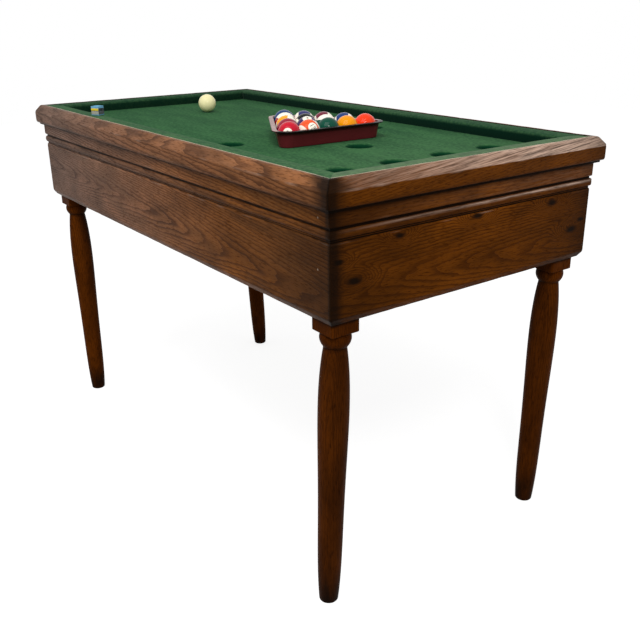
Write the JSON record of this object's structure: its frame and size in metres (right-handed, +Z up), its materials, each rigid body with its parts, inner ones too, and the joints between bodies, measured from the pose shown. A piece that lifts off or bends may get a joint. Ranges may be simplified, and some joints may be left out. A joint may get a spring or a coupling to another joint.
{
  "type": "billiard game table",
  "caption": "Small oak billiard table on turned legs: moulded rails, green cloth bed with sunk cups at one end, racked numbered balls, cue ball and chalk.",
  "frame": {"origin": "on the floor under the middle of the table", "axes": "+X along the table towards the cups, +Y across it to the back, +Z up"},
  "size_m": [1.35, 0.696, 0.8832],
  "materials": {
    "stained_oak": "satin, worn, open grain",
    "turned_oak": "satin, dark at the feet",
    "raw_pine": "sawn, unfinished",
    "cup_beech": "stained dark green",
    "bed_baize": "napped wool cloth",
    "cushion_baize": "rubber strip under napped wool cloth",
    "bolt_steel": "plain steel, dulled",
    "ball_resin": "polished cast resin",
    "cue_ball_resin": "polished cast resin, ivory white",
    "rack_plastic": "moulded plastic, satin",
    "chalk": "pressed chalk with a paper band"
  },
  "bodies": {
    "table": {"apron_back": "stained_oak", "apron_front": "stained_oak", "apron_left": "stained_oak", "apron_right": "stained_oak", "bead_back": "stained_oak", "bead_front": "stained_oak", "bead_left": "stained_oak", "bead_right": "stained_oak", "bearer_1": "raw_pine", "bearer_2": "raw_pine", "bearer_3": "raw_pine", "bed_board": "raw_pine", "bed_cloth": "bed_baize", "corner_brace_back_left": "raw_pine", "corner_brace_back_right": "raw_pine", "corner_brace_front_left": "raw_pine", "corner_brace_front_right": "raw_pine", "cushion_back": "cushion_baize", "cushion_front": "cushion_baize", "cushion_left": "cushion_baize", "cushion_right": "cushion_baize", "frieze_back": "stained_oak", "frieze_front": "stained_oak", "frieze_left": "stained_oak", "frieze_right": "stained_oak", "leg_back_left": "turned_oak", "leg_back_right": "turned_oak", "leg_bolts": "bolt_steel", "leg_front_left": "turned_oak", "leg_front_right": "turned_oak", "pocket_cup_1": "cup_beech", "pocket_cup_2": "cup_beech", "pocket_cup_3": "cup_beech", "pocket_cup_4": "cup_beech", "pocket_cup_5": "cup_beech", "pocket_cup_6": "cup_beech", "pocket_cup_7": "cup_beech", "rail_back": "stained_oak", "rail_front": "stained_oak", "rail_left": "stained_oak", "rail_right": "stained_oak"},
    "rack": {"rack": "rack_plastic"},
    "chalk": {"chalk": "chalk"},
    "cue_ball": {"cue_ball": "cue_ball_resin"},
    "ball_01": {"ball_01": "ball_resin"},
    "ball_02": {"ball_02": "ball_resin"},
    "ball_03": {"ball_03": "ball_resin"},
    "ball_04": {"ball_04": "ball_resin"},
    "ball_05": {"ball_05": "ball_resin"},
    "ball_06": {"ball_06": "ball_resin"},
    "ball_07": {"ball_07": "ball_resin"},
    "ball_08": {"ball_08": "ball_resin"},
    "ball_09": {"ball_09": "ball_resin"},
    "ball_10": {"ball_10": "ball_resin"},
    "ball_11": {"ball_11": "ball_resin"},
    "ball_12": {"ball_12": "ball_resin"},
    "ball_13": {"ball_13": "ball_resin"},
    "ball_14": {"ball_14": "ball_resin"},
    "ball_15": {"ball_15": "ball_resin"}
  },
  "joints": [
    {"name": "rack_lift", "type": "slide", "parent": "table", "child": "rack", "axis": [0, 0, 1], "range_m": [0, 0.08]},
    {"name": "ball_01_lift", "type": "slide", "parent": "rack", "child": "ball_01", "axis": [0, 0, 1], "range_m": [0, 0.06]},
    {"name": "ball_02_lift", "type": "slide", "parent": "rack", "child": "ball_02", "axis": [0, 0, 1], "range_m": [0, 0.06]},
    {"name": "ball_03_lift", "type": "slide", "parent": "rack", "child": "ball_03", "axis": [0, 0, 1], "range_m": [0, 0.06]},
    {"name": "ball_04_lift", "type": "slide", "parent": "rack", "child": "ball_04", "axis": [0, 0, 1], "range_m": [0, 0.06]},
    {"name": "ball_05_lift", "type": "slide", "parent": "rack", "child": "ball_05", "axis": [0, 0, 1], "range_m": [0, 0.06]},
    {"name": "ball_06_lift", "type": "slide", "parent": "rack", "child": "ball_06", "axis": [0, 0, 1], "range_m": [0, 0.06]},
    {"name": "ball_07_lift", "type": "slide", "parent": "rack", "child": "ball_07", "axis": [0, 0, 1], "range_m": [0, 0.06]},
    {"name": "ball_08_lift", "type": "slide", "parent": "rack", "child": "ball_08", "axis": [0, 0, 1], "range_m": [0, 0.06]},
    {"name": "ball_09_lift", "type": "slide", "parent": "rack", "child": "ball_09", "axis": [0, 0, 1], "range_m": [0, 0.06]},
    {"name": "ball_10_lift", "type": "slide", "parent": "rack", "child": "ball_10", "axis": [0, 0, 1], "range_m": [0, 0.06]},
    {"name": "ball_11_lift", "type": "slide", "parent": "rack", "child": "ball_11", "axis": [0, 0, 1], "range_m": [0, 0.06]},
    {"name": "ball_12_lift", "type": "slide", "parent": "rack", "child": "ball_12", "axis": [0, 0, 1], "range_m": [0, 0.06]},
    {"name": "ball_13_lift", "type": "slide", "parent": "rack", "child": "ball_13", "axis": [0, 0, 1], "range_m": [0, 0.06]},
    {"name": "ball_14_lift", "type": "slide", "parent": "rack", "child": "ball_14", "axis": [0, 0, 1], "range_m": [0, 0.06]},
    {"name": "ball_15_lift", "type": "slide", "parent": "rack", "child": "ball_15", "axis": [0, 0, 1], "range_m": [0, 0.06]},
    {"name": "cue_ball_roll", "type": "slide", "parent": "table", "child": "cue_ball", "axis": [1, 0, 0], "range_m": [-0.185, 0.38]},
    {"name": "chalk_lift", "type": "slide", "parent": "table", "child": "chalk", "axis": [0, 0, 1], "range_m": [0, 0.06]}
  ]
}
